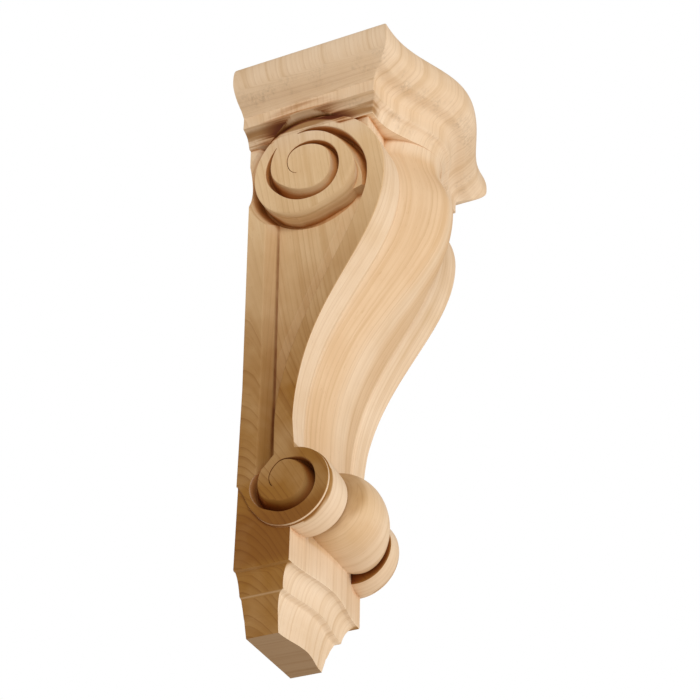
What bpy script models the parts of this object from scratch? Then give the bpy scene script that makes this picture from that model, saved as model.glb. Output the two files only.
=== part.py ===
"""A carved scroll corbel, one block of pale maple under a moulded cap.

+X is the corbel's left-to-right width, -Y points out of the wall, +Z is up. The flat back
lies on Y = 0 and the origin is the middle of the back. Lengths are in metres.
"Depth" below is the distance out of the wall, so a point at depth d has Y = -d.
"""
import math

import bmesh
import bpy

# Overall height, top of the cap to the underside of the foot
HEIGHT = 0.560
TOP_Z = HEIGHT / 2
FOOT_Z = -HEIGHT / 2

# Cap: half width and depth of its top edge at the front corners, and its bowed front
CAP_HALF_WIDTH = 0.1105
CAP_DEPTH = 0.1490
CAP_HEIGHT = 0.0764
CAP_BOW = 0.0325
CAP_BOW_POWER = 2.6
CAP_BOW_FALL = 0.10
CAP_EDGE_OUT = 0.0112
CAP_FILLET_IN = 0.0134
CAP_BAND_IN = 0.0270
CAP_BOTTOM_Z = TOP_Z - CAP_HEIGHT

# Neck and stepped foot under the scroll
NECK_HALF_WIDTH = 0.0674
NECK_DEPTH = 0.0505
FOOT_HEIGHT = 0.0483
FOOT_SIDE_IN = 0.0275
FOOT_FRONT_IN = 0.0212
FOOT_BOW = 0.0085
FOOT_BOW_POWER = 2.0
FOOT_BOW_FALL = 0.35
NECK_Z = FOOT_Z + FOOT_HEIGHT

# Side faces: half width at the waist, and how much they spread upwards
WAIST_HALF_WIDTH = 0.0710
SPREAD_START_Z = -0.056
FACE_SPREAD = 0.060
BACK_STRIP_SPREAD = 0.040
BACK_STRIP_SET_IN = 0.0008
BACK_STRIP_DEPTH = 0.0178
BACK_STRIP_SLOPE = 0.0070

# Sunk panel between the back strip and the scroll band, and the deeper channel beside the band
PANEL_SINK = 0.0135
CHANNEL_STEP = 0.0060
CHANNEL_WIDTH = 0.0180
CHANNEL_SPREAD = 0.050
MOAT_SINK = 0.0205
MOAT_RADIUS = 0.0535
MOAT_RIM_RADIUS = 0.0680

# Upper volute: its eye, its outline, and the band's front at its fullest
UPPER_EYE_DEPTH = 0.0600
UPPER_EYE_DROP = 0.0406
UPPER_EYE_Z = CAP_BOTTOM_Z - UPPER_EYE_DROP
UPPER_RADIUS = 0.0525
UPPER_REACH = 0.0812
UPPER_REACH_ANGLE = -16.0
UPPER_CURL = 1.56
THROAT_RADIUS = 0.0640
THROAT_ANGLE = -18.0

# Underside of the upper volute, as shares of its radius by angle
BELLY = [(-96, 0.975), (-66, 0.952), (-48, 1.010), (-36, 1.029)]

# Scroll band: front edge and back edge at the waist, below the middle of the corbel
WAIST_FRONT = 0.0502
WAIST_BACK = 0.0328
WAIST_RISE = 0.1800

# Outline of the lower volute, as shares of its radius by angle: it opens out towards the wall
LOWER_OUTLINE = [(-245, 1.01), (-231, 0.942), (-220, 0.940), (-208, 0.984), (-201, 1.100), (-194, 1.340),
                 (-188, 1.290), (-184, 1.215), (-174, 1.120), (-160, 1.050), (-148, 1.010), (-135, 1.0)]

# Lower roll: its axis and end, its lip, and the barrel between the two lips
ROLL_DEPTH = 0.0492
ROLL_RISE = 0.0670
ROLL_AXIS_Z = NECK_Z + ROLL_RISE
ROLL_RADIUS = 0.0362
ROLL_FULLNESS = 0.0013
ROLL_LIP_X = 0.0430
ROLL_LIP_RADIUS = 0.0318
ROLL_LIP_FORWARD = 0.0090
ROLL_LIP_DROP = 0.0046
BARREL_HALF_WIDTH = 0.0420
BARREL_RADIUS = 0.0382
BARREL_END_RADIUS = 0.0170
BARREL_FORWARD = 0.0148
BARREL_RISE = 0.0018
BARREL_END_DROP = 0.0111
LOWER_EYE_OFFSET = (-0.0082, 0.0087)
CORE_RISE = 0.0102
ROLL_END_SHARE = 0.93
ROLL_BACK = [(60, 1.0), (100, 0.86), (212, 0.86), (245, 1.0)]
BARREL_SHAPE = 1.22

# Front: flat fillets at the sides, a swelling between them, and an upright block under the cap
SWELL_HALF_WIDTH = 0.0455
SWELL_TOP = 0.0300
SWELL_WAIST = 0.0100
SWELL_SUNK = 0.0040
SWELL_FULL_Z = 0.1490
SWELL_FALL = [(0.0, 0.0), (0.012, -0.0035), (0.028, -0.0105), (0.041, -0.0125), (0.0546, -0.0120)]
SWELL_POWER = 1.4
SWELL_TOP_POWER = 0.62
BLOCK_DEPTH = 0.1210
BLOCK_SET_IN = 0.0055
BLOCK_RISE = 0.0225
SWELL_STEPS = 18

# Grooves: greatest depth, depth for their width, and share of the width that is flat floor
GROOVE_SINK = 0.0140
GROOVE_STEEPNESS = 1.5
GROOVE_FLOOR = 0.55

# Working allowances: overlap of joined shapes, waste behind the back, cutters' clearance
EMBED = 0.0060
SAW_WASTE = 0.0050
CLEAR = 0.0020

MAPLE = (0.71, 0.53, 0.35, 1.0)


def face_half_width(z):
    """Half width of the scroll's flat side face at height z."""
    return WAIST_HALF_WIDTH + FACE_SPREAD * max(0.0, z - SPREAD_START_Z)


def strip_half_width(z):
    """Half width of the plain strip along the wall at height z."""
    return WAIST_HALF_WIDTH - BACK_STRIP_SET_IN + BACK_STRIP_SPREAD * max(0.0, z - SPREAD_START_Z)


def between(stations, at):
    """Smooth value at a place, through stations of (place, value) in rising order."""
    places = [place for place, value in stations]
    values = [value for place, value in stations]
    if at <= places[0]:
        return values[0]
    if at >= places[-1]:
        return values[-1]
    i = max(k for k in range(len(places) - 1) if places[k] <= at)
    slopes = []
    for k in (i, i + 1):
        low, high = max(k - 1, 0), min(k + 1, len(places) - 1)
        slopes.append((values[high] - values[low]) / (places[high] - places[low]))
    span = places[i + 1] - places[i]
    t = (at - places[i]) / span
    return (values[i] * (2 * t**3 - 3 * t**2 + 1) + slopes[0] * span * (t**3 - 2 * t**2 + t)
            + values[i + 1] * (3 * t**2 - 2 * t**3) + slopes[1] * span * (t**3 - t**2))


def bezier(start, start_handle, end_handle, end, steps):
    """Points of one cubic curve in the side plane, both ends included."""
    points = []
    for k in range(steps + 1):
        t = k / steps
        weights = ((1 - t)**3, 3 * t * (1 - t)**2, 3 * t**2 * (1 - t), t**3)
        controls = (start, start_handle, end_handle, end)
        points.append(tuple(sum(w * c[i] for w, c in zip(weights, controls)) for i in (0, 1)))
    return points


def polar(centre, degrees, radius):
    """Point (depth, z) at an angle from straight out of the wall, rising towards +Z."""
    angle = math.radians(degrees)
    return centre[0] + radius * math.cos(angle), centre[1] + radius * math.sin(angle)


def upper_radius(degrees):
    """Radius of the upper volute's outline: a spiral that closes in over the top."""
    u = min(1.0, (degrees - UPPER_REACH_ANGLE) / (90.0 - UPPER_REACH_ANGLE))
    return UPPER_RADIUS + (UPPER_REACH - UPPER_RADIUS) * (1.0 - u)**UPPER_CURL


def loft(name, rings):
    """A closed solid from equal rings of (x, depth, z) points, flat at both ends."""
    bm = bmesh.new()
    loops = []
    for ring in rings:
        verts = [bm.verts.new((x, -depth, z)) for x, depth, z in ring]
        edges = [bm.edges.new((verts[k - 1], verts[k])) for k in range(len(verts))]
        loops.append(edges)
    for lower, upper in zip(loops, loops[1:]):
        bmesh.ops.bridge_loops(bm, edges=lower + upper)
    for edges in (loops[0], loops[-1]):
        bmesh.ops.contextual_create(bm, geom=edges)
    bmesh.ops.recalc_face_normals(bm, faces=bm.faces)
    mesh = bpy.data.meshes.new(name)
    bm.to_mesh(mesh)
    bm.free()
    part = bpy.data.objects.new(name, mesh)
    bpy.context.collection.objects.link(part)
    return part


def side_slab(name, outline, half_width):
    """A solid with one outline in side view, running right through the corbel."""
    return loft(name, [[(side * half_width(z), depth, z) for depth, z in outline]
                       for side in (-1, 1)])


def combine(body, other, operation):
    """Join or cut one solid with another, and keep only the result."""
    step = body.modifiers.new(operation, "BOOLEAN")
    step.operation = operation
    step.solver = "EXACT"
    step.object = other
    graph = bpy.context.evaluated_depsgraph_get()
    mesh = bpy.data.meshes.new_from_object(body.evaluated_get(graph))
    old = body.data
    body.modifiers.clear()
    body.data = mesh
    bpy.data.meshes.remove(old)
    bpy.data.objects.remove(other)


for old_object in list(bpy.data.objects):
    bpy.data.objects.remove(old_object)

# The scroll band's front edge: from the volute's fullest point down to the waist
upper_eye = (UPPER_EYE_DEPTH, UPPER_EYE_Z)
brow = polar(upper_eye, UPPER_REACH_ANGLE, UPPER_REACH)
waist_z = FOOT_Z + WAIST_RISE
sweep = brow[1] - waist_z
front_edge = bezier(brow, (brow[0], brow[1] - 0.358 * sweep),
                    (WAIST_FRONT, waist_z + 0.499 * sweep), (WAIST_FRONT, waist_z), 22)
throat = polar(upper_eye, THROAT_ANGLE, THROAT_RADIUS)
back_edge = bezier(throat, (throat[0], throat[1] - 0.266 * sweep),
                   (WAIST_BACK, waist_z + 0.417 * sweep), (WAIST_BACK, waist_z), 20)


def edge_depth(edge, z):
    """Depth of the scroll band's front or back edge at height z."""
    return between([(point[1], point[0]) for point in reversed(edge)], z)


roll_axis = (ROLL_DEPTH, ROLL_AXIS_Z)

# Scroll band and both volutes as one slab with a single outline
crown = [polar(upper_eye, a, upper_radius(a)) for a in range(-12, 259, 6)]
belly = [polar(upper_eye, a, UPPER_RADIUS * between(BELLY, a)) for a in range(-96, -35, 6)]
roll_end = [polar(roll_axis, a, ROLL_RADIUS * between(LOWER_OUTLINE, a)) for a in range(-245, 85, 7)]
outline = (list(reversed(front_edge)) + crown + belly
           + [point for point in back_edge if point[1] < belly[-1][1] + 0.004] + roll_end)
corbel = side_slab("corbel", outline, face_half_width)


def crown_depth(z):
    """Depth of the scroll band's front edge at height z, over the upper volute as well."""
    if z < brow[1]:
        return edge_depth(front_edge, z)
    rising = [(point[1], point[0]) for point in crown if UPPER_EYE_DEPTH < point[0] < brow[0] - 0.1 * CLEAR]
    return between([(brow[1], brow[0])] + [point for point in rising if point[0] > brow[1]], z)


# Core behind the scroll: sunk panels, the slope beside the band, and the plain back strips
def core_ring(z):
    strip = strip_half_width(z)
    panel = strip - PANEL_SINK
    channel = panel - CHANNEL_STEP
    band = edge_depth(back_edge, z)
    root = BACK_STRIP_DEPTH + BACK_STRIP_SLOPE
    ridge = max(root + 0.1 * CLEAR, band - CHANNEL_WIDTH - CHANNEL_SPREAD * (z - waist_z))
    foot_of_band = min(band, crown_depth(z) - 3 * EMBED)
    half = [(strip, -SAW_WASTE), (strip, BACK_STRIP_DEPTH), (panel, root), (panel, ridge),
            (channel, foot_of_band), (channel, foot_of_band + EMBED)]
    return [(x, d, z) for x, d in half] + [(-x, d, z) for x, d in reversed(half)]


core_low = ROLL_AXIS_Z + CORE_RISE
core_count = 26
core = loft("core", [core_ring(core_low + (CAP_BOTTOM_Z + EMBED - core_low) * k / core_count)
                     for k in range(core_count + 1)])


# Ring-shaped hollow around the upper volute, cut into the core from both sides
def moat(side):
    rings = []
    for radius, sink in ((0.5 * MOAT_RADIUS, MOAT_SINK), (MOAT_RADIUS, MOAT_SINK),
                         (MOAT_RIM_RADIUS, -CLEAR), (0.5 * MOAT_RADIUS, -CLEAR)):
        rings.append([(side * (face_half_width(z) - sink), d, z)
                      for d, z in (polar(upper_eye, a, radius) for a in range(0, 360, 10))])
    return loft("moat", rings)


for side in (-1, 1):
    combine(core, moat(side), "DIFFERENCE")
combine(corbel, core, "UNION")


# Swelling down the middle of the front
def swell_ring(z):
    """One level cut of the swelling, whose sides dive under the flat fillets."""
    base = crown_depth(z) if z < UPPER_EYE_Z else max(crown_depth(z), BLOCK_DEPTH)
    if z > SWELL_FULL_Z:
        rise = crown_depth(SWELL_FULL_Z) + SWELL_TOP + between(SWELL_FALL, z - SWELL_FULL_Z) - base
    else:
        rise = between([(ROLL_AXIS_Z, SWELL_WAIST), (0.0, 1.3 * SWELL_WAIST), (0.090, 0.90 * SWELL_TOP),
                        (0.125, 0.97 * SWELL_TOP), (SWELL_FULL_Z, SWELL_TOP)], z)
    full = rise + SWELL_SUNK
    power = between([(SWELL_FULL_Z, SWELL_POWER), (CAP_BOTTOM_Z, SWELL_TOP_POWER)], z)
    half = SWELL_HALF_WIDTH * (math.pi / 2) / math.acos((SWELL_SUNK / full)**(1 / power))
    front = []
    for k in range(SWELL_STEPS + 1):
        turn = math.pi / 2 * math.sin(math.pi * (k / SWELL_STEPS - 0.5))
        lift = full * abs(math.cos(turn))**power
        front.append((half * turn / (math.pi / 2), base - SWELL_SUNK + lift, z))
    return front + [(half, base - 2 * EMBED, z), (-half, base - 2 * EMBED, z)]


swell_low = ROLL_AXIS_Z + 0.030
swell_count = 30
swell = loft("swell", [swell_ring(swell_low + (CAP_BOTTOM_Z + EMBED - swell_low) * k / swell_count)
                       for k in range(swell_count + 1)])
combine(corbel, swell, "UNION")

# Room for the roll and the barrel: the front of the volutes' bar is taken off between the faces
roll_length = WAIST_HALF_WIDTH - 0.3 * CLEAR
hollow_corner = polar(roll_axis, 60, ROLL_RADIUS + CLEAR)
hollow_front = ROLL_DEPTH + 2 * ROLL_RADIUS
hollow_low = ROLL_AXIS_Z - ROLL_RADIUS - 5 * CLEAR
hollow = [roll_axis, hollow_corner, (hollow_front, hollow_corner[1]), (hollow_front, hollow_low),
          (ROLL_DEPTH - CLEAR, hollow_low)]
combine(corbel, side_slab("hollow", hollow, lambda z: roll_length - 2 * CLEAR), "DIFFERENCE")

# Lower roll: a short cylinder at each side that moves forward to a lip, drawn in behind the band
for side in (-1, 1):
    rings = []
    for share in (0.0, 0.12, 0.35, 0.60, 0.80, 0.95, 1.0):
        radius = (ROLL_RADIUS + (ROLL_LIP_RADIUS - ROLL_RADIUS) * share**1.5
                  + ROLL_FULLNESS * min(1.0, 5 * share) * (1 - share))
        if share == 0.0:
            radius = ROLL_END_SHARE * ROLL_RADIUS
        centre = (ROLL_DEPTH + ROLL_LIP_FORWARD * share, ROLL_AXIS_Z - ROLL_LIP_DROP * share)
        x = side * (roll_length + (ROLL_LIP_X - roll_length) * share)
        rings.append([(x,) + polar(centre, a, radius * between(ROLL_BACK, a))
                      for a in range(0, 360, 10)])
    combine(corbel, loft("roll", rings), "UNION")

# Barrel between the rolls, fuller and further out in the middle
rings = []
for k in range(-8, 9):
    turn = math.pi / 2 * k / 8
    fullness = abs(math.cos(turn))**BARREL_SHAPE
    centre = (ROLL_DEPTH + BARREL_FORWARD,
              ROLL_AXIS_Z - BARREL_END_DROP + (BARREL_END_DROP + BARREL_RISE) * fullness)
    radius = BARREL_END_RADIUS + (BARREL_RADIUS - BARREL_END_RADIUS) * fullness
    x = BARREL_HALF_WIDTH * math.sin(turn)
    rings.append([(x,) + polar(centre, a, radius) for a in range(0, 360, 10)])
combine(corbel, loft("barrel", rings), "UNION")


# Moulded parts: rings with square back corners, mitred front corners and a bowed front
def moulded_ring(half, depth, bow, power, z, steps, waste):
    """One level of a moulding: half width, depth at its corners, and how far its front bows."""
    front = []
    for k in range(steps + 1):
        x = -half + 2 * half * k / steps
        front.append((x, depth + bow * abs(math.cos(x / half * math.pi / 2))**power, z))
    return [(half, -waste, z), (-half, -waste, z)] + front


def neck_profile():
    """Side inset, front inset and height of the neck and foot, from the roll down."""
    shares = [(0.0, 0.0, 0.0), (0.15, 0.15, 0.004), (0.27, 0.34, 0.083), (0.39, 0.47, 0.228),
              (0.46, 0.52, 0.356), (0.58, 0.72, 0.398), (0.71, 0.87, 0.559), (0.83, 0.93, 0.714),
              (1.0, 1.0, 1.0)]
    return [(0.0, 0.0, ROLL_AXIS_Z + CORE_RISE + EMBED)] + [
        (a * FOOT_SIDE_IN, b * FOOT_FRONT_IN, NECK_Z - c * FOOT_HEIGHT) for a, b, c in shares]


foot_rings = []
for side_in, front_in, z in neck_profile():
    bow = FOOT_BOW * (1 - FOOT_BOW_FALL * front_in / FOOT_FRONT_IN)
    foot_rings.append(moulded_ring(NECK_HALF_WIDTH - side_in, NECK_DEPTH - front_in, bow, FOOT_BOW_POWER,
                                   z, 16, 0.8 * SAW_WASTE))
foot = loft("foot", foot_rings)
combine(corbel, foot, "UNION")


def cap_profile():
    """Half width, corner depth and height of the cap's edge, from the top down."""
    out, fillet, band = CAP_EDGE_OUT, CAP_FILLET_IN, CAP_BAND_IN
    shares = [(0.0, 0.0, 0.0), (0.45 * out, 0.35 * out, 0.047), (0.85 * out, 0.62 * out, 0.131),
              (out, 0.75 * out, 0.249), (0.93 * out, 0.72 * out, 0.366), (0.65 * out, 0.50 * out, 0.438),
              (0.22 * out, 0.05 * out, 0.504), (-0.15 * fillet, -0.20 * fillet, 0.543),
              (-0.62 * fillet, -0.78 * fillet, 0.586), (-fillet, -1.10 * fillet, 0.648),
              (-fillet, -1.15 * fillet, 0.818), (-0.68 * band, -0.60 * band, 0.838),
              (-0.86 * band, -0.75 * band, 0.890), (-band, -0.84 * band, 1.0)]
    return [(side, front, share * CAP_HEIGHT) for side, front, share in shares]


cap_rings = []
for side_out, front_out, down in cap_profile():
    bow = CAP_BOW * (1 - CAP_BOW_FALL * down / CAP_HEIGHT)
    cap_rings.append(moulded_ring(CAP_HALF_WIDTH + side_out, CAP_DEPTH + front_out, bow, CAP_BOW_POWER,
                                  TOP_Z - down, 24, 1.2 * SAW_WASTE))
cap = loft("cap", cap_rings)
combine(corbel, cap, "UNION")


# Spiral grooves: a cutter that follows the turns, wider and deeper in the middle of its run
def groove(eye, outer, width, degrees, side):
    """Cutter along a spiral from its inner tip: outer radius and width by angle."""
    rings = []
    for a in degrees:
        r = between(outer, -a)
        w = between(width, -a)
        sink = min(GROOVE_SINK, 0.6 * CLEAR + GROOVE_STEEPNESS * w)
        ring = []
        for radius, level in ((r, CLEAR), (r - 0.08 * w, -sink),
                              (r - GROOVE_FLOOR * w, -sink), (r - w, CLEAR)):
            d, z = polar(eye, a, radius)
            ring.append((side * (face_half_width(z) + level), d, z))
        rings.append(ring)
    return loft("groove", rings)


# Each groove's outer radius and width by angle, from its inner tip to where it dies out
upper_turns = ([(152, 0.0107), (190, 0.0180), (235, 0.0263), (300, 0.0286), (361, 0.0329),
                (410, 0.0375), (451, 0.0360), (500, 0.0357), (542, 0.0408), (585, 0.0425)],
               [(152, 0.0008), (230, 0.0014), (270, 0.0032), (330, 0.0060), (361, 0.0085),
                (451, 0.0110), (500, 0.0095), (542, 0.0060), (585, 0.0008)])
upper_parting = ([(-103, 0.0408), (-62, 0.0439), (-38, 0.0465), (-15, 0.0513), (5, 0.0585),
                  (14, 0.0624), (22, 0.0656), (44, 0.0760)],
                 [(-103, 0.0008), (-84, 0.0029), (-62, 0.0056), (-38, 0.0081), (-15, 0.0097),
                  (5, 0.0110), (14, 0.0119), (22, 0.0132), (44, 0.0225)])
lower_turns = ([(142, 0.0094), (186, 0.0108), (236, 0.0139), (270, 0.0180), (295, 0.0200),
                (324, 0.0258), (351, 0.0302), (388, 0.0345), (411, 0.0345), (448, 0.0315),
                (467, 0.0295), (496, 0.0295), (543, 0.0280), (577, 0.0225)],
               [(142, 0.0008), (270, 0.0012), (295, 0.0016), (324, 0.0060), (351, 0.0090),
                (400, 0.0110), (448, 0.0100), (496, 0.0085), (543, 0.0070), (577, 0.0008)])
lower_eye = (ROLL_DEPTH + LOWER_EYE_OFFSET[0], ROLL_AXIS_Z + LOWER_EYE_OFFSET[1])
for side in (-1, 1):
    combine(corbel, groove(upper_eye, *upper_turns, range(-152, -586, -9), side), "DIFFERENCE")
    combine(corbel, groove(upper_eye, *upper_parting, range(101, -45, -6), side), "DIFFERENCE")
    combine(corbel, groove(lower_eye, *lower_turns, range(-142, -578, -9), side), "DIFFERENCE")

# Under the cap the fillets stop at the upright block, which is seen above the volutes
block_half = face_half_width(CAP_BOTTOM_Z) - BLOCK_SET_IN
block_low = UPPER_EYE_Z + BLOCK_RISE
block_rings = []
for k in range(6):
    z = block_low + (CAP_BOTTOM_Z + EMBED - block_low) * k / 5
    back = crown_depth(z) - 2 * CLEAR
    block_rings.append([(block_half, back, z), (-block_half, back, z),
                        (-block_half, BLOCK_DEPTH, z), (block_half, BLOCK_DEPTH, z)])
block = loft("block", block_rings)
combine(corbel, block, "UNION")

# Saw the back flat, tidy the cut surfaces, colour them and shade the curved ones smooth
bm = bmesh.new()
bm.from_mesh(corbel.data)
sawn = bmesh.ops.bisect_plane(bm, geom=bm.verts[:] + bm.edges[:] + bm.faces[:], dist=0.00001,
                              plane_co=(0.0, 0.0, 0.0), plane_no=(0.0, 1.0, 0.0), clear_outer=True)
bmesh.ops.contextual_create(bm, geom=[e for e in sawn["geom_cut"] if isinstance(e, bmesh.types.BMEdge)])
bmesh.ops.remove_doubles(bm, verts=bm.verts, dist=0.00002)
bmesh.ops.triangulate(bm, faces=bm.faces)
bmesh.ops.dissolve_degenerate(bm, edges=bm.edges, dist=0.00002)
bm.to_mesh(corbel.data)
bm.free()
corbel.data.shade_smooth()
corbel.data.set_sharp_from_angle(angle=math.radians(32))

maple = bpy.data.materials.new("sanded_maple")
maple.use_nodes = True
shader = maple.node_tree.nodes["Principled BSDF"]
shader.inputs["Base Color"].default_value = MAPLE
shader.inputs["Roughness"].default_value = 0.62
shader.inputs["Metallic"].default_value = 0.0
corbel.data.materials.clear()
corbel.data.materials.append(maple)
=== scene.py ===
"""The finished look of a scroll corbel carved from one block of pale maple."""
import math

import bmesh
import bpy
from mathutils import Matrix, Vector


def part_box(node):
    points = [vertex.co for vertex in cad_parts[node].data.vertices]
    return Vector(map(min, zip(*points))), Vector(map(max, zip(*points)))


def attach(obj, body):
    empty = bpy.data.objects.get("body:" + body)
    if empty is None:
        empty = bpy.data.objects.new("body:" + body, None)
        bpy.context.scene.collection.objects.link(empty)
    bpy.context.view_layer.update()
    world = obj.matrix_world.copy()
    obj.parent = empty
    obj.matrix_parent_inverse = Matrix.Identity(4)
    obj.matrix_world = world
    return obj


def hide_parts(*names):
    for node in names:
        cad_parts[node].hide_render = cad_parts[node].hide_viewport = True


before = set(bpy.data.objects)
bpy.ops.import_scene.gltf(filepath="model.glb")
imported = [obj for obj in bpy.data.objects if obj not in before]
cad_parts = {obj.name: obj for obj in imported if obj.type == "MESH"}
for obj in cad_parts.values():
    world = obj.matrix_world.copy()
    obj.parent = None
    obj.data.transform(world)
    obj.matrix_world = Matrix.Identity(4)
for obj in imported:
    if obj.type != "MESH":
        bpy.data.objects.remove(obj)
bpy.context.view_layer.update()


# The scroll band: one S-shaped band on each side, rolled up at both ends into volutes.
# It is band-sawn right through a block of maple boards glued face to face, and its edges are
# eased with sandpaper. Depth is the distance out of the wall, so a point at depth d has Y = -d.
low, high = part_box("corbel")
top_z, foot_z = high[2], low[2]
height = top_z - foot_z
cap_height = 0.1364 * height
cap_bottom_z = top_z - cap_height
neck_z = foot_z + 0.0863 * height
waist_half = 0.0710
spread_start_z = -0.0560
face_spread = 0.060
edge_round = 0.0009
same_point = 0.00001

upper_eye = (0.0600, cap_bottom_z - 0.0406)
brow_angle, brow_radius = -16.0, 0.0812
throat_angle, throat_radius = -18.0, 0.0640
turn_radius = 0.0525
waist_z = foot_z + 0.1800
waist_front, waist_back = 0.0502, 0.0328
roll_axis = (0.0492, neck_z + 0.0670)
roll_radius = 0.0362


def face_half(z):
    """Half width of the corbel's side faces, which spread from the waist up to the cap."""
    return waist_half + face_spread * max(0.0, z - spread_start_z)


def between(stations, at):
    """Smooth value at a place, through stations of (place, value) in rising order."""
    places = [place for place, value in stations]
    values = [value for place, value in stations]
    if at <= places[0]:
        return values[0]
    if at >= places[-1]:
        return values[-1]
    i = max(k for k in range(len(places) - 1) if places[k] <= at)
    slopes = []
    for k in (i, i + 1):
        before, after = max(k - 1, 0), min(k + 1, len(places) - 1)
        slopes.append((values[after] - values[before]) / (places[after] - places[before]))
    span = places[i + 1] - places[i]
    t = (at - places[i]) / span
    return (values[i] * (2 * t**3 - 3 * t**2 + 1) + slopes[0] * span * (t**3 - 2 * t**2 + t)
            + values[i + 1] * (3 * t**2 - 2 * t**3) + slopes[1] * span * (t**3 - t**2))


def steps(start, end, count):
    """Evenly spaced numbers from start to end, both included."""
    return [start + (end - start) * k / count for k in range(count + 1)]


def bezier(start, start_handle, end_handle, end, count):
    """Points of one cubic curve in the side plane, both ends included."""
    points = []
    for t in steps(0.0, 1.0, count):
        weights = ((1 - t)**3, 3 * t * (1 - t)**2, 3 * t**2 * (1 - t), t**3)
        controls = (start, start_handle, end_handle, end)
        points.append(tuple(sum(w * c[i] for w, c in zip(weights, controls)) for i in (0, 1)))
    return points


def polar(centre, degrees, radius):
    """Point (depth, z) at an angle from straight out of the wall, rising towards +Z."""
    angle = math.radians(degrees)
    return centre[0] + radius * math.cos(angle), centre[1] + radius * math.sin(angle)


def turn_outline(degrees):
    """Radius of the upper volute's outer turn: a spiral that closes in over the top."""
    u = min(1.0, (degrees - brow_angle) / (90.0 - brow_angle))
    return turn_radius + (brow_radius - turn_radius) * (1.0 - u)**1.56


def shifted(outline, distance):
    """The outline moved inwards by a distance, each point along the mean of its two sides."""
    area = sum(p[0] * q[1] - q[0] * p[1] for p, q in zip(outline, outline[1:] + outline[:1]))
    sense = 1.0 if area > 0 else -1.0
    moved = []
    for k, point in enumerate(outline):
        before, after = outline[k - 1], outline[(k + 1) % len(outline)]
        along = Vector((after[0] - before[0], after[1] - before[1])).normalized()
        moved.append((point[0] - sense * distance * along.y, point[1] + sense * distance * along.x))
    return moved


def loft(name, rings):
    """A closed solid from equal rings of (x, depth, z) points, flat at both ends."""
    bm = bmesh.new()
    loops = []
    for ring in rings:
        verts = [bm.verts.new((x, -depth, z)) for x, depth, z in ring]
        loops.append([bm.edges.new((verts[k - 1], verts[k])) for k in range(len(verts))])
    for lower, upper in zip(loops, loops[1:]):
        bmesh.ops.bridge_loops(bm, edges=lower + upper)
    for edges in (loops[0], loops[-1]):
        bmesh.ops.contextual_create(bm, geom=edges)
    bmesh.ops.recalc_face_normals(bm, faces=bm.faces)
    mesh = bpy.data.meshes.new(name)
    bm.to_mesh(mesh)
    bm.free()
    solid = bpy.data.objects.new(name, mesh)
    bpy.context.collection.objects.link(solid)
    return solid


def combine(body, other, operation):
    """Join or cut one solid with another, and keep only the result."""
    step = body.modifiers.new(operation, "BOOLEAN")
    step.operation = operation
    step.solver = "EXACT"
    step.object = other
    graph = bpy.context.evaluated_depsgraph_get()
    mesh = bpy.data.meshes.new_from_object(body.evaluated_get(graph))
    old = body.data
    body.modifiers.clear()
    body.data = mesh
    bpy.data.meshes.remove(old)
    bpy.data.objects.remove(other)


brow = polar(upper_eye, brow_angle, brow_radius)
sweep = brow[1] - waist_z
front_edge = bezier(brow, (brow[0], brow[1] - 0.358 * sweep),
                    (waist_front, waist_z + 0.499 * sweep), (waist_front, waist_z), 60)
throat = polar(upper_eye, throat_angle, throat_radius)
back_edge = bezier(throat, (throat[0], throat[1] - 0.266 * sweep),
                   (waist_back, waist_z + 0.417 * sweep), (waist_back, waist_z), 60)
front_stations = [(z, depth) for depth, z in reversed(front_edge)]
back_stations = [(z, depth) for depth, z in reversed(back_edge)]

crown = [polar(upper_eye, a, turn_outline(a)) for a in steps(brow_angle + 1.5, 258.0, 140)]
crown_stations = [(brow[1], brow[0])]
crown_stations += [(z, depth) for depth, z in crown if depth > upper_eye[0] + 0.010]
belly_shape = [(-99, 0.985), (-66, 0.952), (-48, 1.010), (-36, 1.029)]
belly = [polar(upper_eye, a, turn_radius * between(belly_shape, a))
         for a in steps(-99.0, -37.0, 32)]
roll_shape = [(-245, 1.01), (-231, 0.942), (-220, 0.940), (-208, 0.984), (-201, 1.100),
              (-194, 1.340), (-188, 1.290), (-184, 1.215), (-174, 1.120), (-160, 1.050),
              (-148, 1.010), (-135, 1.0)]
roll_end = [polar(roll_axis, a, roll_radius * between(roll_shape, a))
            for a in steps(-245.0, 84.0, 150)]
band_outline = (list(reversed(front_edge)) + crown + belly
                + [point for point in back_edge if point[1] < belly[-1][1] + 0.003] + roll_end)


def eased_slab(name, outline, half_width, radius):
    """A solid of one side outline running right through, with its long edges rounded over."""
    rings = []
    for side in (-1, 1):
        turns = [math.radians(a) for a in (90, 60, 30, 0)]
        arc = [(radius * (1 - math.sin(t)), radius * (1 - math.cos(t))) for t in turns]
        if side > 0:
            arc.reverse()
        for inwards, shrink in arc:
            rings.append([(side * (half_width(z) - inwards), depth, z)
                          for depth, z in shifted(outline, shrink)])
    slab = loft(name, rings)
    bm = bmesh.new()
    bm.from_mesh(slab.data)
    bmesh.ops.bisect_plane(bm, geom=bm.verts[:] + bm.edges[:] + bm.faces[:], dist=same_point,
                           plane_co=(0.0, 0.0, spread_start_z), plane_no=(0.0, 0.0, 1.0))
    bm.to_mesh(slab.data)
    bm.free()
    return slab


def front_depth(z):
    """Depth of the band's front at height z, over the brow and down to the roll."""
    return between(front_stations if z < brow[1] else crown_stations, z)


corbel = eased_slab("carved_corbel", band_outline, face_half, edge_round)

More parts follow.
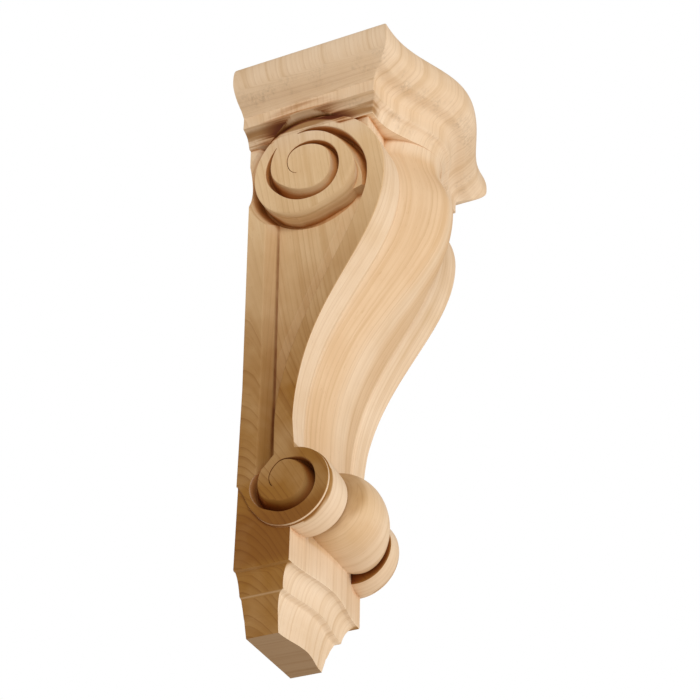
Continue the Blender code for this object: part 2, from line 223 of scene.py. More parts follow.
# The core behind the band: plain strips along the wall, sunk panels between them and the band,
# a deeper channel beside the band, and a hollow round the upper volute. All of it is routed into
# the block's sides, and the strips' front edges are left as a long slope.
strip_set_in = 0.0008
strip_spread = 0.040
strip_depth = 0.0178
strip_slope = 0.0070
panel_sink = 0.0135
channel_step = 0.0060
channel_width = 0.0180
channel_spread = 0.050
moat_sink = 0.0205
moat_foot, moat_rim = 0.0535, 0.0680
waste = 0.0050
into_cap = 0.006
behind_front = 0.018


def strip_half(z):
    """Half width of the plain strip along the wall at height z."""
    return waist_half - strip_set_in + strip_spread * max(0.0, z - spread_start_z)


def core_ring(z):
    """One level cut of the core, from the wall out to under the band."""
    strip = strip_half(z)
    panel = strip - panel_sink
    channel = panel - channel_step
    band = between(back_stations, z)
    root = strip_depth + strip_slope
    ridge = max(root + 0.0006, band - channel_width - channel_spread * (z - waist_z))
    crest = min(0.0022, 0.3 * (band - ridge))
    reach = min(band, front_depth(z) - behind_front)
    half = [(strip, -waste), (strip, strip_depth - 0.0014), (strip - 0.0004, strip_depth - 0.0004),
            (strip - 0.0016, strip_depth + 0.0007),
            (panel + 0.0016, root - 0.0006), (panel + 0.0004, root - 0.0002), (panel, root + 0.0003),
            (panel, ridge), (panel - 0.0002, ridge + 0.3 * crest), (panel - 0.0010, ridge + crest),
            (channel + 0.0006, reach - 0.0010), (channel, reach), (channel, reach + 0.006)]
    return [(x, d, z) for x, d in half] + [(-x, d, z) for x, d in reversed(half)]


core_low = roll_axis[1] + 0.0102
core = loft("core", [core_ring(z) for z in steps(core_low, cap_bottom_z + into_cap, 90)])


def moat(side):
    """Ring-shaped hollow around the upper volute, with a sloping outer side."""
    section = ((0.5 * moat_foot, moat_sink), (moat_foot, moat_sink),
               (moat_foot + 0.0010, moat_sink - 0.0003), (moat_rim - 0.0012, 0.0012),
               (moat_rim, -0.0004), (moat_rim + 0.0010, -0.0050), (0.5 * moat_foot, -0.0050))
    rings = []
    for radius, sink in section:
        rings.append([(side * (face_half(z) - sink), d, z)
                      for d, z in (polar(upper_eye, a, radius) for a in steps(0.0, 358.0, 179))])
    return loft("moat", rings)


for side in (-1, 1):
    combine(core, moat(side), "DIFFERENCE")
combine(corbel, core, "UNION")

# The front: flat fillets that turn down into a valley on each side of a long swelling.
# The swelling is carved with a wide gouge and sanded. Under the cap it draws in and stands
# upright, with a pocket between it, the fillet and the cap on each side.
swell_half = 0.0455
swell_top, swell_waist = 0.0300, 0.0100
swell_sunk = 0.0040
swell_full_z = foot_z + 0.4290
swell_rise = [(roll_axis[1], swell_waist), (0.0, 1.3 * swell_waist), (0.090, 0.90 * swell_top),
              (0.125, 0.97 * swell_top), (swell_full_z, swell_top)]
swell_fall = [(0.0, 0.0), (0.012, -0.0035), (0.028, -0.0105), (0.041, -0.0125), (0.0546, -0.0120)]
valley_width, valley_sink = 0.0050, 0.0014
valley_end_z = upper_eye[1] + 0.0200
block_depth = 0.1210


def valley_level(z):
    """How far the valley lies behind the fillet: it dies out before the cap."""
    return valley_sink * min(1.0, max(0.0, (valley_end_z - z) / 0.020))


def valley(side):
    """Cutter that turns the fillet's inner edge down towards the swelling."""
    rings = []
    for z in steps(roll_axis[1] + 0.020, valley_end_z, 80):
        base, sink, x = front_depth(z), valley_level(z), swell_half
        section = ((x + valley_width + 0.0012, base + 0.0014),
                   (x + valley_width - 0.0012, base - 0.2 * sink), (x, base - sink),
                   (x - 0.010, base - sink), (x - 0.010, base + 0.0060),
                   (x + valley_width, base + 0.0060))
        rings.append([(side * across, depth, z) for across, depth in section])
    return loft("valley", rings)


def swell_ring(z):
    """One level cut of the swelling, whose sides dive under the valleys."""
    base = front_depth(z) - valley_level(z)
    if z > upper_eye[1]:
        base = max(base, block_depth)
    rise = between(swell_rise, z) + front_depth(z) - base
    if z > swell_full_z:
        rise = front_depth(swell_full_z) + swell_top + between(swell_fall, z - swell_full_z) - base
    full = rise + swell_sunk
    power = between([(swell_full_z, 1.4), (cap_bottom_z, 0.62)], z)
    half = swell_half * (math.pi / 2) / math.acos((swell_sunk / full)**(1 / power))
    front = []
    for share in steps(-1.0, 1.0, 64):
        turn = math.pi / 2 * math.sin(share * math.pi / 2)
        crest = full * abs(math.cos(turn))**power
        front.append((half * turn / (math.pi / 2), base - swell_sunk + crest, z))
    return front + [(half, base - 0.012, z), (-half, base - 0.012, z)]


for side in (-1, 1):
    combine(corbel, valley(side), "DIFFERENCE")
swell_heights = steps(roll_axis[1] + 0.030, cap_bottom_z + into_cap, 110)
combine(corbel, loft("swell", [swell_ring(z) for z in swell_heights]), "UNION")

# The lower roll and its barrel: the volutes' ends carry a short cylinder on each side, and
# a fatter barrel turned between them, parted by a rounded lip and a valley.
roll_length = waist_half - 0.0006
roll_lip = 0.0430
lip_radius, lip_forward, lip_drop = 0.0318, 0.0090, 0.0046
roll_fullness = 0.0013
barrel_half = 0.0420
barrel_radius, barrel_end_radius = 0.0382, 0.0170
barrel_forward, barrel_rise, barrel_end_drop = 0.0148, 0.0018, 0.0111
roll_back = [(60, 1.0), (100, 0.86), (212, 0.86), (245, 1.0)]
lip_edge = ((0.0008, 0.0001), (0.0003, 0.0005), (0.0, 0.0013), (0.0, 0.0040), (-0.0008, 0.0080))

hollow_corner = polar(roll_axis, 60, roll_radius + 0.0020)
hollow_front, hollow_low = roll_axis[0] + 2 * roll_radius, roll_axis[1] - roll_radius - 0.010
hollow = [roll_axis, hollow_corner, (hollow_front, hollow_corner[1]), (hollow_front, hollow_low),
          (roll_axis[0] - 0.0020, hollow_low)]
hollow_half = roll_length - 0.0040
combine(corbel, loft("hollow", [[(side * hollow_half, depth, z) for depth, z in hollow]
                                for side in (-1, 1)]), "DIFFERENCE")


def roll_ring(side, share, x, inwards=0.0):
    """One cut of the roll: it moves forward to its lip and is drawn in behind the band."""
    centre = (roll_axis[0] + lip_forward * share, roll_axis[1] - lip_drop * share)
    radius = (roll_radius + (lip_radius - roll_radius) * share**1.5
              + roll_fullness * min(1.0, 5 * share) * (1 - share) - inwards)
    return [(side * x,) + polar(centre, a, radius * between(roll_back, a))
            for a in steps(0.0, 357.0, 119)]


for side in (-1, 1):
    rings = [roll_ring(side, 0.0, roll_length, 0.0025)]
    for share in steps(0.10, 0.95, 10):
        rings.append(roll_ring(side, share, roll_length + (roll_lip - roll_length) * share))
    for x, inwards in lip_edge:
        rings.append(roll_ring(side, 1.0, roll_lip + x, inwards))
    combine(corbel, loft("roll", rings), "UNION")

rings = []
for turn in steps(-math.pi / 2, math.pi / 2, 40):
    fullness = abs(math.cos(turn))**1.22
    centre = (roll_axis[0] + barrel_forward,
              roll_axis[1] - barrel_end_drop + (barrel_end_drop + barrel_rise) * fullness)
    radius = barrel_end_radius + (barrel_radius - barrel_end_radius) * fullness
    rings.append([(barrel_half * math.sin(turn),) + polar(centre, a, radius)
                  for a in steps(0.0, 357.0, 119)])
combine(corbel, loft("barrel", rings), "UNION")

# The neck and the stepped foot: hollow mouldings cut across the block's lower end with a shaped
# cutter, returned round the corners, over a front that bows out.
neck_half, neck_depth = 0.0674, 0.0505
foot_height = neck_z - foot_z
foot_side, foot_front = 0.0275, 0.0212
foot_bow = 0.0085


def moulded_ring(half, depth, bow, power, z, count, wall, ease=0.0008):
    """One level of a moulding: half width, depth at its corners, and how far its front bows."""
    front = []
    for x in steps(-half + ease, half - ease, count):
        front.append((x, depth + bow * abs(math.cos(x / half * math.pi / 2))**power, z))
    left = [(-half, depth - ease, z), (-half + 0.3 * ease, depth - 0.3 * ease, z)]
    right = [(-x, d, level) for x, d, level in reversed(left)]
    return [(half, -wall, z), (-half, -wall, z)] + left + front + right


def smooth_profile(points, count):
    """More points through a moulding's (side, front, down) stations, round where they are."""
    rings = []
    neighbours = zip(points[:1] + points, points, points[1:], points[2:] + points[-1:])
    for before, start, end, after in neighbours:
        for t in steps(0.0, 1.0, count)[:-1]:
            rings.append(tuple(0.5 * (2 * s + (e - b) * t + (2 * b - 5 * s + 4 * e - a) * t**2
                                      + (3 * s - b - 3 * e + a) * t**3)
                               for b, s, e, a in zip(before, start, end, after)))
    return rings + [points[-1]]


foot_flats = [(0.0, 0.0, -1.80), (0.0, 0.0, -0.02), (0.02, 0.02, 0.0)]
foot_upper = [(0.15, 0.15, 0.006), (0.20, 0.25, 0.035), (0.27, 0.34, 0.083), (0.34, 0.42, 0.155),
              (0.39, 0.47, 0.228), (0.43, 0.50, 0.29), (0.455, 0.515, 0.345)]
foot_middle = [(0.455, 0.515, 0.345), (0.48, 0.53, 0.368), (0.58, 0.72, 0.398),
               (0.62, 0.78, 0.45), (0.68, 0.84, 0.52), (0.75, 0.89, 0.62), (0.80, 0.92, 0.690)]
foot_lower = [(0.80, 0.92, 0.690), (0.835, 0.935, 0.714), (0.88, 0.955, 0.80),
              (0.94, 0.98, 0.90), (1.0, 1.0, 1.0)]
foot_profile = (foot_flats + smooth_profile(foot_upper, 3) + smooth_profile(foot_middle, 3)[1:]
                + smooth_profile(foot_lower, 3)[1:])
foot_rings = []
for side_in, front_in, down in foot_profile:
    foot_rings.append(moulded_ring(
        neck_half - side_in * foot_side, neck_depth - front_in * foot_front,
        foot_bow * (1 - 0.35 * front_in), 2.0, neck_z - down * foot_height, 48, 0.8 * waste))
foot = loft("foot", foot_rings)
combine(corbel, foot, "UNION")

# The cap: a wide hollow-and-round moulding over a cove and a plain band. Its front bows out
# between two eared corners, its sides are straight, and its coves are burnished by the cutter.
cap_half, cap_depth = 0.1105, 0.1490
cap_bow, cap_bow_power, cap_bow_fall = 0.0325, 2.6, 0.10
edge_out, cove_in, band_in = 0.0112, 0.0134, 0.0270
cap_corner_ease = 0.0012
cap_stations = [(0.0, 0.0, 0.0), (0.45 * edge_out, 0.35 * edge_out, 0.047),
                (0.85 * edge_out, 0.62 * edge_out, 0.131), (edge_out, 0.75 * edge_out, 0.249),
                (0.93 * edge_out, 0.72 * edge_out, 0.366), (0.65 * edge_out, 0.50 * edge_out, 0.438),
                (0.22 * edge_out, 0.05 * edge_out, 0.504), (-0.15 * cove_in, -0.20 * cove_in, 0.543),
                (-0.62 * cove_in, -0.78 * cove_in, 0.586), (-cove_in, -1.10 * cove_in, 0.648)]
cap_band = [(-cove_in, -1.10 * cove_in, 0.648), (-1.01 * cove_in, -1.14 * cove_in, 0.72),
            (-cove_in, -1.15 * cove_in, 0.812)]
cap_under = [(-cove_in, -1.15 * cove_in, 0.812), (-0.68 * band_in, -0.60 * band_in, 0.838),
             (-0.79 * band_in, -0.70 * band_in, 0.862), (-0.86 * band_in, -0.75 * band_in, 0.890),
             (-0.94 * band_in, -0.80 * band_in, 0.944), (-band_in, -0.84 * band_in, 1.0)]
cap_profile = (smooth_profile(cap_stations, 4) + smooth_profile(cap_band, 2)[1:]
               + smooth_profile(cap_under, 3)[1:])
cap_rings = []
for side_out, front_out, down in cap_profile:
    cap_rings.append(moulded_ring(
        cap_half + min(side_out, 0.999 * edge_out), cap_depth + min(front_out, 0.749 * edge_out),
        cap_bow * (1 - cap_bow_fall * down), cap_bow_power, top_z - down * cap_height,
        96, 1.2 * waste, cap_corner_ease))
cap = loft("cap", cap_rings)
pocket_gap = [(48, -0.0010), (75, 0.0022), (100, 0.0034), (140, 0.0036), (165, 0.0020)]
pocket_levels = (-0.0034, 0.0300)


def cap_pocket(side):
    """Cutter that frees the volute's face from the cap and leaves a narrow groove around it."""
    arc = []
    for a in steps(40.0, 176.0, 68):
        arc.append(polar(upper_eye, a, turn_outline(a) + between(pocket_gap, a)))
    rings = []
    for level in pocket_levels:
        rings.append([(side * (face_half(z) + level), depth, z) for depth, z in arc + [upper_eye]])
    return loft("pocket", rings)


for side in (-1, 1):
    combine(cap, cap_pocket(side), "DIFFERENCE")
combine(corbel, cap, "UNION")

# The volutes' grooves: spirals cut with a small gouge into both sides, deep and wide in the
# middle of their run and dying out to a hair line at both ends.
groove_sink = 0.0140


def face_ring(eye, degrees, section, side):
    """A cutter's section of (radius, level over the side face), set at an angle round an eye."""
    ring = []
    for radius, level in section:
        depth, z = polar(eye, degrees, radius)
        ring.append((side * (face_half(z) + level), depth, z))
    return ring


def groove(eye, outer, width, degrees, side):
    """Cutter along a spiral: a steep outer wall, and a long slope up to the inner edge."""
    rings = []
    for a in degrees:
        r, w = between(outer, -a), between(width, -a)
        sink = min(groove_sink, 0.0010 + 1.5 * w)
        lip = min(0.0007, 0.25 * w)
        section = ((r + 1.2 * lip, 0.0008), (r + 0.9 * lip, 0.0), (r + 0.1 * lip, -0.7 * lip),
                   (r - 0.02 * w, -2.2 * lip), (r - 0.08 * w, -0.90 * sink), (r - 0.16 * w, -sink),
                   (r - 0.30 * w, -0.97 * sink), (r - 0.46 * w, -0.82 * sink),
                   (r - 0.72 * w, -0.42 * sink), (r - 0.95 * w, -1.1 * lip),
                   (r - w - 0.3 * lip, -0.3 * lip), (r - w - 1.4 * lip, 0.0008))
        rings.append(face_ring(eye, a, section, side))
    return loft("groove", rings)


lower_eye = (roll_axis[0] - 0.0082, roll_axis[1] + 0.0087)
inner_outer = [(152, 0.0107), (190, 0.0180), (235, 0.0263), (300, 0.0286), (361, 0.0329),
               (410, 0.0375), (451, 0.0360), (500, 0.0357), (542, 0.0408), (585, 0.0425)]
inner_width = [(152, 0.0006), (230, 0.0012), (270, 0.0032), (330, 0.0060), (361, 0.0085),
               (451, 0.0110), (500, 0.0095), (542, 0.0060), (585, 0.0006)]
outer_outer = [(-103, 0.0408), (-62, 0.0439), (-38, 0.0465), (-15, 0.0513), (5, 0.0585),
               (14, 0.0624), (22, 0.0656), (44, 0.0760)]
outer_width = [(-103, 0.0006), (-84, 0.0029), (-62, 0.0056), (-38, 0.0081), (-15, 0.0097),
               (5, 0.0110), (14, 0.0119), (22, 0.0132), (44, 0.0225)]
lower_outer = [(142, 0.0094), (186, 0.0108), (236, 0.0139), (270, 0.0180), (295, 0.0200),
               (324, 0.0258), (351, 0.0302), (388, 0.0345), (411, 0.0345), (448, 0.0315),
               (467, 0.0295), (496, 0.0295), (543, 0.0280), (577, 0.0225)]
lower_width = [(142, 0.0006), (270, 0.0012), (295, 0.0016), (324, 0.0060), (351, 0.0090),
               (400, 0.0110), (448, 0.0100), (496, 0.0085), (543, 0.0070), (577, 0.0006)]
grooves = ((upper_eye, inner_outer, inner_width, steps(-152.0, -585.0, 144)),
           (upper_eye, outer_outer, outer_width, steps(102.0, -44.0, 56)),
           (lower_eye, lower_outer, lower_width, steps(-142.0, -577.0, 144)))
for side in (-1, 1):
    for eye, outer, width, degrees in grooves:
        combine(corbel, groove(eye, outer, width, degrees, side), "DIFFERENCE")

# The shoulder: the upper volute's lowest turn falls away softly towards its underside. It is
# rounded over by hand with a chisel and sandpaper, widest at its lower right.
shoulder_edge = [(-130, 0.0525), (-99, 0.0517), (-66, 0.0500), (-48, 0.0530), (-36, 0.0535),
                 (-22, 0.0524), (-14, 0.0505), (-5, 0.0475)]
shoulder_width = [(-140, 0.0002), (-120, 0.0030), (-95, 0.0065), (-60, 0.0085), (-36, 0.0090),
                  (-20, 0.0060), (-6, 0.0002)]
shoulder_clear = 0.0070


def shoulder(side):
    """Cutter that rounds the turn's lower edge over."""
    rings = []
    for a in steps(-140.0, -6.0, 67):
        edge, width = between(shoulder_edge, a), between(shoulder_width, a)
        curve = [(edge - width * (1.0 - math.sin(t)), -1.1 * width * (1.0 - math.cos(t)))
                 for t in steps(0.0, math.pi / 2, 8)]
        section = ([(edge - 1.2 * width, 0.0010)] + curve
                   + [(edge + shoulder_clear, -1.1 * width), (edge + shoulder_clear, 0.0010)])
        rings.append(face_ring(upper_eye, a, section, side))
    return loft("shoulder", rings)


for side in (-1, 1):
    combine(corbel, shoulder(side), "DIFFERENCE")

# The block above the volutes: the fillets end at this upright block under the cap. It is set
# back a little from the sides, and its two front corners are eased.
block_half = face_half(cap_bottom_z) - 0.0055
block_ease = 0.0006
rings = []
for z in steps(upper_eye[1] + 0.0225, cap_bottom_z + into_cap, 12):
    back = front_depth(z) - 0.0040
    rings.append([(block_half, back, z), (-block_half, back, z),
                  (-block_half, block_depth - block_ease, z),
                  (-block_half + block_ease, block_depth, z),
                  (block_half - block_ease, block_depth, z),
                  (block_half, block_depth - block_ease, z)])
combine(corbel, loft("block", rings), "UNION")

# The back: it is sawn flat in one plane, so that the corbel sits tight on the wall. The carved
# corbel then takes the place of the plain solid.
bm = bmesh.new()
bm.from_mesh(corbel.data)
sawn = bmesh.ops.bisect_plane(bm, geom=bm.verts[:] + bm.edges[:] + bm.faces[:], dist=same_point,
                              plane_co=(0.0, 0.0, 0.0), plane_no=(0.0, 1.0, 0.0), clear_outer=True)
back_rim = [edge for edge in sawn["geom_cut"] if isinstance(edge, bmesh.types.BMEdge)]
bmesh.ops.contextual_create(bm, geom=back_rim)
bmesh.ops.remove_doubles(bm, verts=bm.verts, dist=same_point)
bmesh.ops.dissolve_degenerate(bm, edges=bm.edges, dist=same_point)
bm.to_mesh(corbel.data)
bm.free()
corbel.data.shade_smooth()
corbel.data.set_sharp_from_angle(angle=math.radians(34))
weighted = corbel.modifiers.new("flat faces stay flat", "WEIGHTED_NORMAL")
weighted.mode = "FACE_AREA"
weighted.weight = 60
weighted.keep_sharp = True
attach(corbel, "root")
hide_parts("corbel")

# The wood: raw sanded maple. Its growth rings stand nearly square to the width, so they show as
# long streaks on the front and as nested arches on the sides, whose lines are stronger low down.
# The cutter has scorched the grooves a little and burnished the cap's coves brown. Painted shade
# darkens the grooves and corners further, and the sides, recesses and undersides, most low down.
ring_gap = 0.0048
cream = (0.860, 0.695, 0.520)
honey = (0.750, 0.550, 0.355)
ring_brown = (0.500, 0.300, 0.130)
streak_brown = (0.600, 0.390, 0.190)
# Tints that paint shade: the side, low, neck and under tints, singe and scorch (with some real
# scorch), flank
side_shade_tint = (0.990, 0.930, 0.780)
low_shade_tint = (0.450, 0.290, 0.085)
neck_shade_tint = (0.820, 0.720, 0.640)
barrel_tint = (0.900, 0.810, 0.660)
underside_shade_tint = (0.480, 0.400, 0.310)
singe_and_shade = (0.720, 0.420, 0.170)
scorch_and_shade = (0.300, 0.130, 0.040)
burnish_brown = (0.430, 0.310, 0.190)
smear_brown = (0.360, 0.190, 0.070)
flank_shade_tint = (0.930, 0.850, 0.740)


class Value:
    """A shader socket that takes part in sums; expressions on it add Math nodes."""

    def __init__(self, tree, socket):
        self.tree, self.socket = tree, socket

    def node(self, kind, settings=None, inputs=None, output=0):
        """Add any node: its settings first, then the values or links of its sockets."""
        made = self.tree.nodes.new(kind)
        for name, setting in (settings or {}).items():
            setattr(made, name, setting)
        for name, entry in (inputs or {}).items():
            if isinstance(entry, Value):
                self.tree.links.new(entry.socket, made.inputs[name])
            else:
                made.inputs[name].default_value = entry
        return Value(self.tree, made.outputs[output])

    def math(self, operation, *others, clamp=False):
        """One Math node with this value first."""
        return self.node("ShaderNodeMath", {"operation": operation, "use_clamp": clamp},
                         dict(enumerate((self,) + others)))

    def __add__(self, other):
        return self.math("ADD", other)

    def __radd__(self, other):
        return self.math("ADD", other)

    def __sub__(self, other):
        return self.math("SUBTRACT", other)

    def __rsub__(self, other):
        return self.math("MULTIPLY_ADD", -1.0, other)

    def __mul__(self, other):
        return self.math("MULTIPLY", other)

    def __rmul__(self, other):
        return self.math("MULTIPLY", other)

    def __truediv__(self, other):
        return self.math("DIVIDE", other)

    def __pow__(self, other):
        return self.math("POWER", other)

    def ramp(self, start, end):
        """0 below start, 1 above end, and smooth between them."""
        return self.node("ShaderNodeMapRange", {"interpolation_type": "SMOOTHSTEP"},
                         {"Value": self, "From Min": start, "From Max": end,
                          "To Min": 0.0, "To Max": 1.0})

    def fade(self, start, end):
        """1 below start, 0 above end, and smooth between them."""
        return 1.0 - self.ramp(start, end)

    def band(self, start, full, fall, end):
        """1 between full and fall, 0 below start and above end."""
        return self.ramp(start, full) * self.fade(fall, end)

    def mix(self, first, second, blend="MIX"):
        """A colour between two colours, with this value as the share of the second."""
        return self.node("ShaderNodeMix",
                         {"data_type": "RGBA", "blend_type": blend, "clamp_factor": True},
                         {0: self, 6: first, 7: second}, 2)

    def tint(self, colour, by, share=1.0):
        """The colour so far, multiplied by another where this value is 1."""
        return (self if share == 1.0 else self * share).mix(colour, rgba(by), "MULTIPLY")

    def noise(self, scale, detail=2.0, roughness=0.5):
        """Noise read at this vector."""
        return self.node("ShaderNodeTexNoise", None,
                         {"Vector": self, "Scale": scale, "Detail": detail, "Roughness": roughness})


def rgba(colour):
    """A colour with full alpha."""
    return colour + (1.0,)


def distance(first, second):
    """How far a point lies from an axis, from its two offsets."""
    return (first ** 2.0 + second ** 2.0) ** 0.5


maple = bpy.data.materials.new("sanded_maple")
maple.use_nodes = True
tree = maple.node_tree
shader = tree.nodes["Principled BSDF"]
start = Value(tree, None)
place = start.node("ShaderNodeTexCoord", output=3)
x, y, z = (start.node("ShaderNodeSeparateXYZ", inputs={"Vector": place}, output=k)
           for k in range(3))
facing = start.node("ShaderNodeNewGeometry", output=1)
nx, ny, nz = (start.node("ShaderNodeSeparateXYZ", inputs={"Vector": facing}, output=k)
              for k in range(3))
off_middle, sideways = x.math("ABSOLUTE"), nx.math("ABSOLUTE")
from_wall, forwards, downwards = 0.0 - y, 0.0 - ny, 0.0 - nz


def combined(first, second, third):
    """A vector of three values or numbers."""
    return start.node("ShaderNodeCombineXYZ", inputs={0: first, 1: second, 2: third})


# Rings on the sides are nested arches, steep on the panels and flatter along the wall
low_side = z.fade(-0.13, 0.20)
front_zone = off_middle.fade(0.047, 0.053) * z.ramp(-0.14, -0.12)
off_front = 1.0 - front_zone
side_share = sideways.ramp(0.55, 0.80) * off_front
wander = combined(x * 6.0, y * 6.0, z * 2.2).noise(1.0, 2.0) - 0.5
ripple = combined(x * 60.0, y * 60.0, z * 9.0).noise(1.0, 2.0) - 0.5
arch = distance(y - 0.002, 0.020)
fall = ((z + 0.035) * -28.0).math("EXPONENT")
climb = z * 0.13 - (fall + 1.0).math("LOGARITHM", 2.718) * 0.016
side_rings = arch + climb + wander * 0.030 + ripple * 0.0022
front_rings = x + y * 0.02 + wander * 0.006 + ripple * 0.0016
rings = side_rings * side_share + front_rings * (1.0 - side_share)

# Each ring ends in a thin brown line of late wood, and no two lines are equally strong
count = rings / ring_gap
uneven = count + (combined(count * 0.37, 3.1, 0.0).noise(1.0, 1.0) - 0.5) * 1.6
saw = uneven.math("FRACT")
late = saw ** 5.0 * saw.fade(0.96, 1.0)
strength = combined(uneven.math("FLOOR") * 0.73, 1.7, z * 4.0).noise(1.0, 1.0).ramp(0.35, 0.70)
ring_share = late * (0.20 + 0.80 * strength) * (0.42 + 0.46 * side_share * low_side)

# Fibres run along the rings, and short dark pores lie along them
fibre = combined(rings * 620.0, z * 14.0, y * 3.0).noise(1.0, 3.0, 0.6) - 0.5
fine = combined(rings * 1900.0, z * 46.0, y * 9.0).noise(1.0, 2.0, 0.6) - 0.5
pores = combined(rings * 1500.0, z * 150.0, x * 20.0).noise(1.0, 1.0).ramp(0.66, 0.76)
cloud = place.noise(16.0, 3.0, 0.55) - 0.5
tone = (0.45 + 1.5 * cloud + 0.9 * fibre + 0.5 * fine).math("ADD", 0.0, clamp=True)
colour = tone.mix(rgba(cream), rgba(honey))
streak = combined(rings * 95.0, z * 2.0, y * 2.0).noise(1.0, 3.0, 0.6).ramp(0.48, 0.74)
colour = (streak * (0.42 + 0.13 * side_share)).mix(colour, rgba(streak_brown))
colour = ring_share.mix(colour, rgba(ring_brown))
colour = (pores * 0.22).mix(colour, rgba(ring_brown))

# Distances from the axes of the volutes and of the barrel, which bound the tints below
from_upper_eye = distance(y + upper_eye[0], z - upper_eye[1])
from_lower_eye = distance(y + lower_eye[0], z - lower_eye[1])
from_barrel = distance(from_wall - roll_axis[0] - barrel_forward, z - roll_axis[1] - barrel_rise)
on_barrel = from_barrel.fade(barrel_radius + 0.0010, barrel_radius + 0.0050)
barrel_patch = on_barrel * off_middle.fade(0.0395, 0.0415)
not_back = ny.fade(0.5, 0.8)

# Burnish in the cap's coves, broken up by the fuzz of the end grain, and dark smears below it
fuzz = combined(x * 420.0, y * 420.0, z * 120.0).noise(1.0, 3.0, 0.65)
patch = place.noise(42.0, 3.0, 0.6)
coves = z.band(0.2320, 0.2385, 0.2400, 0.2500) + z.band(0.2060, 0.2120, 0.2160, 0.2185)
rubbed = not_back * coves * patch.ramp(0.42, 0.66) * fuzz.ramp(0.35, 0.75)
colour = (rubbed * 0.55).mix(colour, rgba(burnish_brown))
smear = combined(x * 9.0, y * 9.0, z * 170.0).noise(1.0, 3.0, 0.6).ramp(0.38, 0.60)
low_band = z.band(0.2030, 0.2060, 0.2150, 0.2185) * off_middle.ramp(0.070, 0.082)
colour = (smear * low_band * 0.95).mix(colour, rgba(smear_brown))

# Painted shade with some scorch: a thin dark line in the corner at the root of the strips' slopes,
# and brown under the cap above the upper volute, where the cap's overhang shades it
slope_root = (from_wall - strip_depth - strip_slope).math("ABSOLUTE")
root_shade_line = z.ramp(-0.14, -0.10) * slope_root.fade(0.0003, 0.0014)
in_panel = z.band(-0.195, -0.175, 0.09, 0.13) * sideways.ramp(0.3, 0.5)
colour = (root_shade_line * in_panel * (0.35 + 1.1 * patch)).mix(colour, rgba(scorch_and_shade))
under_cap_shade_and_burn = from_upper_eye.fade(0.054, 0.072) * from_upper_eye.ramp(0.049, 0.052) * z.ramp(0.198, 0.202)
under_cap_shade_and_burn = under_cap_shade_and_burn * sideways.ramp(0.15, 0.40) * (0.25 + 0.9 * smear)
colour = under_cap_shade_and_burn.tint(colour, singe_and_shade)
colour = (under_cap_shade_and_burn * smear).tint(colour, scorch_and_shade, 0.85)

# Painted shade darkens the grooves and corners by how closed in each place is, with a little
# real scorch in the grooves
shelter = start.node("ShaderNodeAmbientOcclusion", {"samples": 8, "only_local": True},
                     {"Distance": 0.0115}, 1)
off_lower_volute = (barrel_patch + from_lower_eye.ramp(0.0352, 0.0362)).math("MINIMUM", 1.0)
turned = on_barrel * off_lower_volute * sideways.fade(0.6, 0.9)
closed_in_shade = (1.0 - shelter) * (0.85 + 0.6 * (patch - 0.5)) * (1.0 - turned * 0.55)
colour = closed_in_shade.ramp(0.19, 0.54).tint(colour, singe_and_shade)
colour = closed_in_shade.ramp(0.50, 0.92).tint(colour, scorch_and_shade, 0.85)
# Painted light: the slopes in the panels that face forwards are lightened towards cream
painted_light_on_slope = forwards.ramp(0.12, 0.30) * forwards.fade(0.97, 0.99) * in_panel * off_front
colour = (painted_light_on_slope * 0.12).mix(colour, rgba(cream))

# Painted shade: the sides, the recesses, the ledges, the swelling's flanks, the neck and the foot's
# underside are tinted darker and warmer, most of all low down. The barrel's patch is the wood's own.
out = off_middle.ramp(0.050, 0.056)
around_upper = out * not_back * z.band(0.06, 0.08, 0.205, 0.215) * forwards.fade(0.75, 0.95)
in_lower = out * from_lower_eye.fade(0.0340, 0.0352) * from_wall.ramp(0.026, 0.028) * 0.7
ledges = off_middle.ramp(0.058, 0.064) * downwards.ramp(0.3, 0.6) * z.fade(-0.225, -0.215) * 0.9
side_faces = sideways.ramp(0.20, 0.60) * off_front * forwards.fade(0.45, 0.75)
shaded_aside = side_faces + in_panel * off_front + around_upper + in_lower + ledges
shaded_aside = shaded_aside.math("MINIMUM", 1.0) * (1.0 - barrel_patch * 0.5)
# Painted shade on the swelling's flanks, by how far they face sideways
shaded_flank = sideways.ramp(0.0, 0.32) * front_zone * off_middle.fade(0.038, 0.052) * z.fade(0.185, 0.200)
colour = shaded_flank.tint(colour, flank_shade_tint)
colour = (shaded_aside * z.fade(0.17, 0.21)).tint(colour, side_shade_tint)
colour = (low_side * shaded_aside * (0.97 + 0.9 * cloud)).tint(colour, low_shade_tint)
# Painted shade at the neck, under the lower volute
neck = not_back * z.band(-0.236, -0.224, -0.19, -0.17)
colour = (neck * (0.25 + 0.75 * shaded_aside)).tint(colour, neck_shade_tint)
barrel_tone = (1.0 - x.ramp(-0.025, 0.020) * 0.85) * (0.9 + 1.6 * cloud)
colour = (barrel_patch * barrel_tone).tint(colour, barrel_tint)
# Painted shade on the foot's underside
foot_bottom = z.fade(foot_z + 0.0004, foot_z + 0.0016)
colour = (downwards.ramp(0.5, 0.9) * foot_bottom).tint(colour, underside_shade_tint)

# A satin surface with the fibres standing a little proud of the pores
tree.links.new(colour.socket, shader.inputs["Base Color"])
roughness = 0.60 + 0.10 * fibre - 0.10 * rubbed
tree.links.new(roughness.socket, shader.inputs["Roughness"])
shader.inputs["Metallic"].default_value = 0.0
shader.inputs["Specular IOR Level"].default_value = 0.30
relief = fibre * 0.5 + fine * 0.3 - pores * 0.5 + rubbed * fuzz * 1.2
bump = start.node("ShaderNodeBump", inputs={"Strength": 0.35, "Distance": 0.00025, "Height": relief})
tree.links.new(bump.socket, shader.inputs["Normal"])
corbel.data.materials.clear()
corbel.data.materials.append(maple)

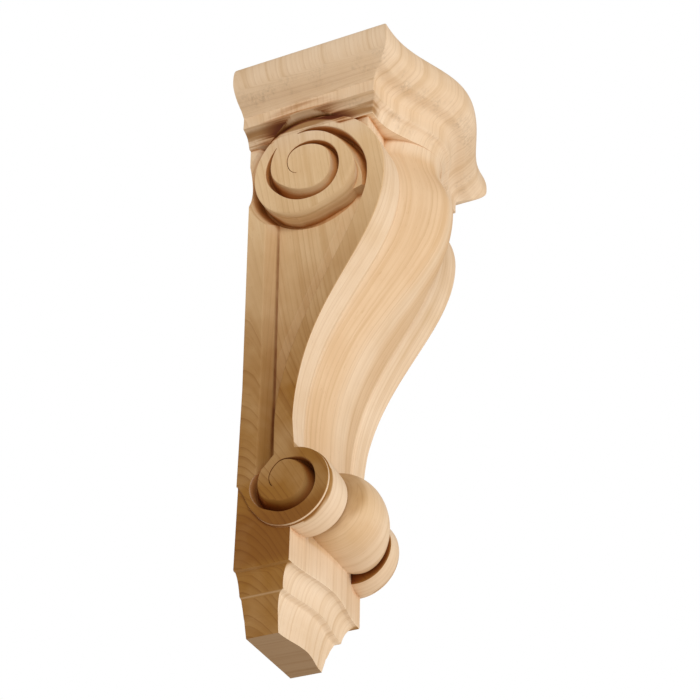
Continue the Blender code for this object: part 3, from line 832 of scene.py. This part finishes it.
# The studio: a pale floor well below the corbel, and a white surround. A wide low window lights
# the front, a soft one the left, a card by the floor the underside, and a lamp the upper side.
floor_z = -1.30
bm = bmesh.new()
bmesh.ops.create_grid(bm, x_segments=1, y_segments=1, size=6.0,
                      matrix=Matrix.Translation((0.0, 0.0, floor_z)))
floor_mesh = bpy.data.meshes.new("floor")
bm.to_mesh(floor_mesh)
bm.free()
floor = bpy.data.objects.new("floor", floor_mesh)
bpy.context.collection.objects.link(floor)
paper = bpy.data.materials.new("pale_paper")
paper.use_nodes = True
paper_shader = paper.node_tree.nodes["Principled BSDF"]
paper_shader.inputs["Base Color"].default_value = (0.90, 0.89, 0.87, 1.0)
paper_shader.inputs["Roughness"].default_value = 0.9
paper_shader.inputs["Emission Color"].default_value = (0.96, 0.95, 0.93, 1.0)
paper_shader.inputs["Emission Strength"].default_value = 0.17
floor.data.materials.append(paper)

world = bpy.data.worlds.new("white_surround")
bpy.context.scene.world = world
world.use_nodes = True
nodes, links = world.node_tree.nodes, world.node_tree.links
surround = nodes["Background"]
surround.inputs["Color"].default_value = (1.0, 0.85, 0.69, 1.0)
surround.inputs["Strength"].default_value = 0.40
backdrop = nodes.new("ShaderNodeBackground")
backdrop.inputs["Color"].default_value = (1.0, 1.0, 1.0, 1.0)
seen = nodes.new("ShaderNodeLightPath")
either = nodes.new("ShaderNodeMixShader")
links.new(seen.outputs["Is Camera Ray"], either.inputs[0])
links.new(surround.outputs[0], either.inputs[1])
links.new(backdrop.outputs[0], either.inputs[2])
links.new(either.outputs[0], nodes["World Output"].inputs["Surface"])
bpy.context.scene.view_settings.view_transform = "Standard"


def shine(name, kind, energy, direction, place=(0.0, 0.0, 0.0), **settings):
    """A lamp at a place, shining in a direction."""
    light = bpy.data.lights.new(name, kind)
    light.energy = energy
    for setting, value in settings.items():
        setattr(light, setting, value)
    lamp = bpy.data.objects.new(name, light)
    bpy.context.collection.objects.link(lamp)
    lamp.location = place
    lamp.rotation_euler = Vector(direction).to_track_quat("-Z", "Y").to_euler()


shine("low window", "AREA", 13.5, (-0.60, 1.50, 0.57), (0.60, -1.60, -0.62), size=1.1)
shine("light from the floor", "AREA", 0.6, (0.20, 0.82, 0.85), (-0.20, -0.90, -1.00), size=0.8)
shine("second window", "SUN", 0.82, (1.0, 0.55, -0.1), angle=0.50)
shine("side lamp", "SPOT", 14.0, (1.06, 0.68, -0.18), (-1.15, -0.75, 0.42),
      spot_size=math.radians(34.0), spot_blend=1.0, shadow_soft_size=0.20)

# The corbel is pictured from below and from its left
camera_place = Vector((-1.2646, -0.6815, -0.9705))
camera_right = Vector((0.4254, -0.9049, 0.0174))
camera_down = Vector((0.5240, 0.2306, -0.8199))
camera_forward = Vector((0.7379, 0.3579, 0.5722))
lens = bpy.data.cameras.new("camera")
lens.sensor_width = 36.0
lens.lens = 98.56
camera = bpy.data.objects.new("camera", lens)
bpy.context.collection.objects.link(camera)
turn = Matrix((camera_right, -camera_down, -camera_forward)).transposed().to_4x4()
camera.matrix_world = Matrix.Translation(camera_place) @ turn
bpy.context.scene.camera = camera
